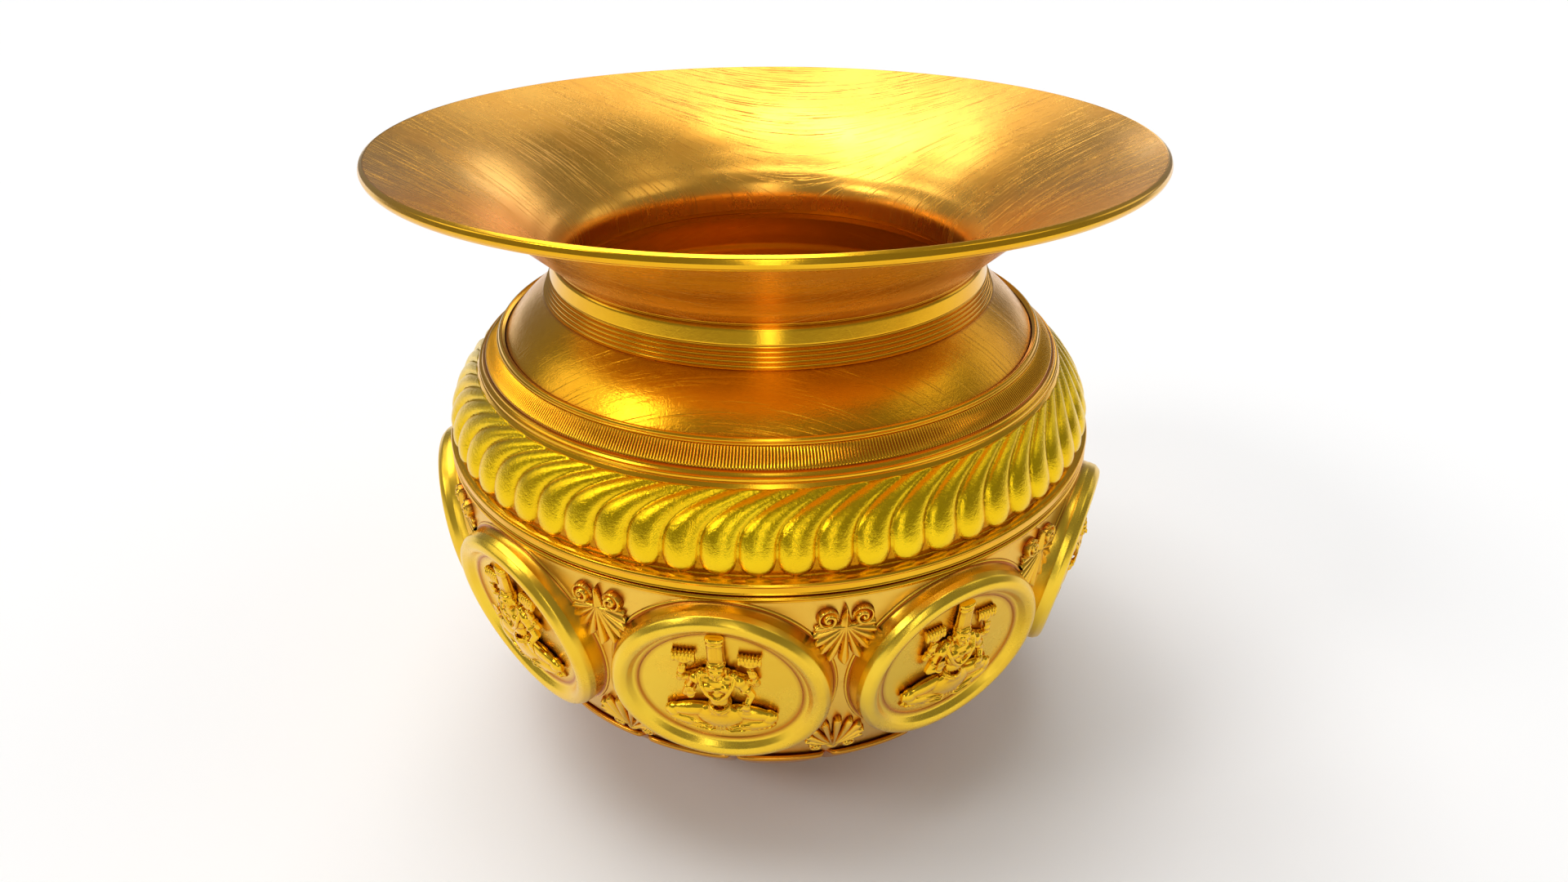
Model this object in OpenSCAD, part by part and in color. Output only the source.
// Brass kalash: a spun water pot with a flared mouth, a gadroon band,
// ten figured medallions and a lotus petal base.
// Millimetres. Origin at the centre of the foot's resting face, Z up.

/* [Mouth] */
// Diameter over the funnel edge, where the rolled rim starts
rim_d = 150; // [147:0.5:153]
// Height of the rim above the table
rim_h = 133.5; // [132.5:0.25:134.5]
// Radius of the rolled wire at the rim
rim_roll = 1.1; // [0.9:0.05:1.25]
// Sheet thickness of the funnel
rim_t = 1.1; // [0.8:0.05:1.2]

/* [Body] */
// Sheet thickness of the spun bowl and shoulder
wall_t = 1.3; // [0.9:0.1:1.6]
// Radius of the lower bowl at its widest
bowl_r = 70.1; // [69.8:0.05:70.4]
// Height of the lap seam between bowl and shoulder
seam_z = 78; // [77.6:0.1:78.2]

/* [Gadroon band] */
// Number of slanting lobes round the band
gadroon_count = 66; // [54:1:72]
// Sideways lean of each lobe, in degrees of arc
gadroon_lean = 9; // [4:0.2:10]
// Depth of the furrow between two lobes
gadroon_cut = 0.9; // [0.5:0.1:1.1]

/* [Medallions] */
// Outer radius of a medallion frame
medal_r = 20.1; // [19:0.1:20.4]
// Distance of a medallion's middle plane from the pot's axis
medal_out = 69.3; // [69:0.1:69.8]
// Height of a medallion's middle
medal_z = 50.55; // [50:0.05:51]
// Downward tilt of a medallion
medal_tilt = 8.2; // [7:0.1:9]

/* [Lotus base] */
// Number of petals round the base
petal_count = 20; // [16:1:24]
// Outer radius of the turned foot ring
foot_r = 39.5; // [38:0.25:40]

/* [Hidden] */
$fn = 240;
medal_count = 10;
step = 360 / medal_count;
rim_r = rim_d / 2;

// Right-hand normal of a profile step, and the mitred normal at a corner.
function seg_n(a, b) = [b[1] - a[1], a[0] - b[0]] / norm(b - a);
function n_before(p, i) = i > 0 ? seg_n(p[i - 1], p[i]) : seg_n(p[0], p[1]);
function n_after(p, i) = i < len(p) - 1 ? seg_n(p[i], p[i + 1]) : n_before(p, i);
function mitre(p, i) = (n_before(p, i) + n_after(p, i)) / (1 + n_before(p, i) * n_after(p, i));
function moved(p, i, t) = p[i] + t * mitre(p, i);
function skin(p, t) = [for (i = [0 : len(p) - 1]) [max(0, moved(p, i, t)[0]), moved(p, i, t)[1]]];
function back(p) = [for (i = [len(p) - 1 : -1 : 0]) p[i]];
function mix(a, b, k) = a + (b - a) * k;

// Outside of the lower bowl, from its middle up to the seam.
bowl_out = [
    [0, 3.3], [20, 3.6], [34, 4.76], [38, 5.4], [40.5, 6.317], [44, 7.6],
    [52, 13.5], [58.5, 20.5], [60.75, 23], [64.5, 30.75], [67.9, 39.75],
    [bowl_r - 0.8, 51], [bowl_r, 62.25], [70.1, 70.9], [69.8, 72.8],
    [69, 75.4], [67.2, seam_z]];
bowl_in = skin(bowl_out, -wall_t);
bowl_core = concat(bowl_out, [[0, seam_z]]);

// Outside of the shoulder, from the seam up to the neck.
shoulder_out = [
    [67.2, seam_z], [66.9, 80.8], [65.2, 84.2], [61.75, 88.6],
    [60.6, 90.65], [57.17, 94], [56.6, 95.9], [52.5, 99.5], [47.2, 103.1]];
shoulder_in = skin(shoulder_out, -wall_t);
shoulder_core = concat(shoulder_out, [[0, 103.1], [0, seam_z]]);

// Upper face of the funnel, from the rim down through the throat.
throat_low = 104.5;
funnel_in = [
    [rim_r - 0.7, rim_h - 0.3], [67.5, rim_h - 3.7], [60, rim_h - 8],
    [54, rim_h - 12.3], [49.5, rim_h - 16.4], [46.7, rim_h - 19.1],
    [44.9, 112.9], [43.4, 111], [42.6, 109.2], [42.4, 107], [42.3, throat_low]];
funnel_out = skin(funnel_in, -rim_t);
funnel_core = concat(funnel_out, [[0, throat_low], [0, rim_h]]);

// Five fine ridges between collar and shoulder.
ridge_top = [45.65, 106.95];
ridge_low = [47.2, 103.1];
ridge_line = [for (i = [0 : 10]) mix(ridge_top, ridge_low, i / 10) + [i % 2 == 0 ? 0 : 0.3, i % 2 == 0 ? 0 : 0.12]];

// Medallion frame and recess in its own axes: X out from its middle, Y outward.
disc_z = 0.6;
disc_r = medal_r - 4.9;
medal_profile = [
    [0, -9], [medal_r + 0.5, -9], [medal_r + 0.5, -1.5], [medal_r, -1.1],
    [medal_r, 0.2], [medal_r - 0.35, 1.4], [medal_r - 1.15, 2.25],
    [medal_r - 2.15, 2.5], [medal_r - 3.1, 2.1], [medal_r - 3.9, 1.3],
    [medal_r - 4.3, 0.95], [disc_r, 0.85], [disc_r - 0.2, disc_z], [0, disc_z]];

// A turned piece that sits on the outside of a core profile.
module turned_on(profile, core) {
    rotate_extrude()
        difference() {
            polygon(profile);
            polygon(core);
        }
}

// Puts a flat ornament on the wall: X to the right, Y up, Z outward.
module on_wall(azimuth, out, height, tilt) {
    rotate([0, 0, azimuth])
        translate([0, -out, height])
            rotate([90 + tilt, 0, 0])
                children();
}

// A straight round limb between two points.
module limb(a, b, r1, r2) {
    d = b - a;
    len_d = norm(d);
    translate(a)
        rotate([0, acos(d[2] / len_d), atan2(d[1], d[0])])
            cylinder(h = len_d, r1 = r1, r2 = r2, $fn = 32);
}

// Turned foot soldered under the bowl.
module foot_ring() {
    color("darkgoldenrod")
        turned_on([
            [33.6, 0], [foot_r, 0], [foot_r + 0.9, 1.4], [foot_r + 0.4, 2.4],
            [foot_r - 0.6, 3.4], [40.5, 6.317], [38, 9], [34, 9]],
            bowl_core);
}

// Spun lower half of the pot, with a spigot that enters the shoulder.
module lower_bowl() {
    n = len(bowl_in);
    inner = [for (i = [n - 2 : -1 : 0]) bowl_in[i]];
    spigot = [[66, seam_z], [65.8, 81], [64.6, 81], [64.6, 78.2]];
    color("goldenrod")
        rotate_extrude()
            polygon(concat(bowl_out, spigot, inner));
}

// Cast sleeve of petals that wraps the bottom of the bowl.
module lotus_petal_band() {
    color("gold")
        difference() {
            turned_on([
                [40.5, 6.317], [41, 4.98], [45, 6.35], [53.1, 12.1],
                [57.4, 16.9], [60, 20.2], [61.3, 22.4], [61.2, 23.4],
                [60.75, 23.6], [50, 18]],
                bowl_core);
            for (i = [0 : petal_count - 1])
                rotate([0, 0, i * 360 / petal_count])
                    petal_furrow();
        }
}

// The dark gap between two petal tips and the furrow below it.
module petal_furrow() {
    translate([0, -61.9, 23.3])
        sphere(r = 1.3, $fn = 24);
    limb([0, -60.9, 20.4], [0, -54.3, 12.2], 0.75, 0.4);
}

// Spun upper half, from the seam to the neck.
module shoulder_shell() {
    n = len(shoulder_in);
    inner = [for (i = [n - 2 : -1 : 2]) shoulder_in[i]];
    color("orange")
        rotate_extrude()
            polygon(concat(
                shoulder_out,
                [[43.5, 103.1], [43.5, 101.9], [46.4, 101.9]],
                inner,
                [[65.6, 82], [65.8, 81], [66, seam_z]]));
}

// Ring of five fine ridges under the collar.
module neck_ridge_ring() {
    color("khaki")
        turned_on(
            concat(ridge_line, [[43.5, 103.1], [43.4, throat_low], [42, 106.95]]),
            funnel_core);
}

// Plain collar that clamps the funnel's throat.
module neck_collar() {
    color("gold")
        turned_on([
            [42, 106.95], [45.65, 106.95], [44.7, 110.25], [44.95, 110.6],
            [44.75, 110.95], [42, 112]],
            funnel_core);
}

// The flared mouth and its throat, one spun sheet.
module flared_rim() {
    color("orange")
        difference() {
            rotate_extrude()
                polygon(concat(funnel_in, back(funnel_out)));
            rim_wire();
        }
}

// The rolled wire as a full ring.
module rim_wire() {
    rotate_extrude()
        translate([rim_r - 0.1, rim_h - rim_roll])
            circle(r = rim_roll, $fn = 32);
}

// Rolled wire round the mouth.
module rim_bead() {
    color("yellow")
        rim_wire();
}

// Thin double bead above the reeding.
module shoulder_bead() {
    color("khaki")
        turned_on([
            [57.17, 94], [57.85, 94.65], [57.85, 95], [57.45, 95.2],
            [57.45, 95.5], [57.1, 95.8], [56.6, 95.9], [56, 94.5]],
            shoulder_core);
}

// Flat strip that carries the fine upright reeds.
module reeded_band() {
    color("gold")
        turned_on([
            [57.17, 94], [57.8, 94.65], [61.3, 91.25], [60.6, 90.65], [57, 92]],
            shoulder_core);
}

// Bead and bevel above the gadroons.
module gadroon_top_bead() {
    color("khaki")
        turned_on([
            [60.6, 90.65], [61.3, 91.25], [61.4, 90.85], [61.75, 90.85],
            [62.1, 90.55], [62.15, 90.15], [62.65, 89.25], [61.75, 88.6],
            [60, 89]],
            shoulder_core);
}

// Sleeve of slanting lobes that covers the seam.
module gadroon_band() {
    color("gold")
        difference() {
            rotate_extrude()
                difference() {
                    polygon([
                        [61.75, 88.6], [62.65, 89.25], [65.2, 87.2],
                        [67.4, 84.4], [69, 81], [69.9, 77.6], [69.7, 75.4],
                        [69, 75.4], [62, 76]]);
                    polygon(shoulder_core);
                    polygon(bowl_core);
                }
            for (i = [0 : gadroon_count - 1])
                rotate([0, 0, i * 360 / gadroon_count])
                    gadroon_furrow();
        }
}

// Furrow between two lobes, wide at the bottom and leaning to one side.
module gadroon_furrow() {
    r = 1.05;
    low_out = 70.3 + r - gadroon_cut;
    top_out = 65.6 + r - gadroon_cut;
    limb(
        [0, -low_out, 75.1],
        [top_out * sin(gadroon_lean), -top_out * cos(gadroon_lean), 88.2],
        r, 0.62);
}

// Heavy bead that finishes the gadroons at the waist.
module waist_bead_upper() {
    color("khaki")
        turned_on([
            [69, 75.4], [69.9, 75.35], [70.35, 74.9], [70.5, 74.2],
            [70.45, 73.4], [70.2, 72.9], [69.8, 72.8], [68, 74]],
            bowl_core);
}

// Thin bead below it.
module waist_bead_lower() {
    color("khaki")
        turned_on([
            [69, 72.6], [70.2, 72.55], [70.55, 72.2], [70.6, 71.8],
            [70.35, 71.35], [69, 71.3]],
            bowl_core);
}

// Round plaque with a thick rounded frame and a sunk disc.
module medallion(k) {
    color("darkgoldenrod")
        difference() {
            on_wall((k - 1) * step, medal_out, medal_z, medal_tilt)
                rotate_extrude()
                    polygon(medal_profile);
            rotate_extrude()
                polygon(bowl_core);
        }
}

// Seated cross-legged figure with four arms and a tall round crown.
module figure(k) {
    color("yellow")
        on_wall((k - 1) * step, medal_out, medal_z, medal_tilt)
            translate([0, 0, disc_z])
                difference() {
                    figure_body();
                    translate([-20, -20, -12])
                        cube([40, 40, 12]);
                }
}

// The figure's own solids, X right, Y up, Z out of the disc.
module figure_body() {
    translate([-7.3, -11.3, -1])
        cube([14.6, 2.6, 2.6]);
    for (s = [-1, 1]) {
        limb([s * 0.6, -6.3, 0.7], [s * 8.3, -7.2, 1.2], 2.2, 1.55);
        translate([s * 8.5, -7.25, 0.9])
            sphere(r = 2.05, $fn = 32);
        limb([s * 1.9, 1.3, 0.7], [s * 5.7, -3.4, 1.5], 1.25, 0.85);
        translate([s * 5.7, -3.3, 1.4])
            sphere(r = 1.2, $fn = 32);
        limb([s * 1.3, 0.6, 0.4], [s * 6.1, 6.7, 0.8], 1.05, 0.7);
        translate([s * 6 - 2.1, 6.4, -0.5])
            cube([4.2, 3.6, 2.1]);
    }
    limb([-7.4, -8.8, 1.1], [2.4, -8.5, 1.9], 1.35, 0.95);
    limb([-5.6, -3.2, 1.4], [-4.1, 1.2, 2.6], 0.8, 0.6);
    limb([5.6, -3.2, 1.4], [4.6, -5.8, 3], 0.8, 0.6);
    limb([0, -7.6, 0.6], [0, 3.3, 0.9], 2.3, 3.25);
    limb([0, 1.5, 0.8], [0, 5.8, 1.1], 1.2, 1.05);
    translate([0, 6.1, 1.3])
        sphere(r = 2, $fn = 32);
    limb([0, 6.4, 1.1], [0, 14.6, 0.9], 1.45, 1.8);
    limb([0, 14, 0.9], [0, 15.1, 0.9], 2.15, 2.15);
}

// Palmette that hangs between two medallions, under the waist.
module palmette_upper(k) {
    color("orange")
        difference() {
            on_wall((k - 0.5) * step, 69.4, 63.2, 0)
                translate([0, 0, -3])
                    palmette_upper_shape();
            rotate_extrude()
                polygon(bowl_core);
        }
}

// Two scrolls above a fan of leaves that point down, on one thin web.
module palmette_upper_shape() {
    linear_extrude(height = 4.45)
        polygon([
            [-0.6, -6.2], [0.6, -6.2], [2.2, -3.6], [3.3, -1], [3.9, 1.4],
            [4.4, 4], [4.4, 5.2], [3, 5.9], [-3, 5.9], [-4.4, 5.2],
            [-4.4, 4], [-3.9, 1.4], [-3.3, -1], [-2.2, -3.6]]);
    for (s = [-1, 1]) {
        translate([s * 3.05, 4.4, 0])
            cylinder(h = 4.9, r = 1.83, $fn = 32);
        translate([s * 3.05, 4.4, 0])
            cylinder(h = 5.4, r = 0.8, $fn = 24);
    }
    translate([-0.75, 1.7, 0])
        cube([1.5, 5.1, 5.15]);
    for (a = [-76, -54, -35, -17, 0, 17, 35, 54, 76])
        translate([0, 2.6, 0])
            rotate([0, 0, a])
                leaf(8.9 - abs(a) * 0.062, 5);
}

// One leaf of a fan, pointing down from its root at the origin.
module leaf(length, thick) {
    linear_extrude(height = thick)
        polygon([
            [-0.24, 0], [0.24, 0], [0.62, -length * 0.72],
            [0.45, -length * 0.94], [0, -length], [-0.45, -length * 0.94],
            [-0.62, -length * 0.72]]);
}

// Upright shell-shaped palmette above the petals.
module palmette_lower(k) {
    color("orange")
        difference() {
            on_wall((k - 0.5) * step, 66.2, 34.2, 22.5)
                translate([0, 0, -5])
                    palmette_lower_shape();
            rotate_extrude()
                polygon(bowl_core);
            rotate_extrude()
                polygon([[50, 10], [62, 10], [62, 24.2], [50, 24.2]]);
        }
}

// Fan of upright leaves over a low base, on one thin web.
module palmette_lower_shape() {
    linear_extrude(height = 5.55)
        polygon([
            [-4.9, -6.6], [4.9, -6.6], [5, -4], [4.2, -0.8], [3.4, 2.4],
            [2, 4.9], [0.7, 6.2], [-0.7, 6.2], [-2, 4.9], [-3.4, 2.4],
            [-4.2, -0.8], [-5, -4]]);
    for (a = [-80, -60, -40, -20, 0, 20, 40, 60, 80])
        translate([0, -4.4, 0])
            rotate([0, 0, 180 + a])
                leaf(11.6 - abs(a) * 0.075, 6.2);
    translate([-5, -6.7, 0])
        cube([10, 1.6, 6.05]);
}

foot_ring();
lower_bowl();
lotus_petal_band();
shoulder_shell();
neck_ridge_ring();
neck_collar();
flared_rim();
rim_bead();
shoulder_bead();
reeded_band();
gadroon_top_bead();
gadroon_band();
waist_bead_upper();
waist_bead_lower();
for (k = [1 : medal_count]) {
    medallion(k);
    figure(k);
    palmette_upper(k);
    palmette_lower(k);
}
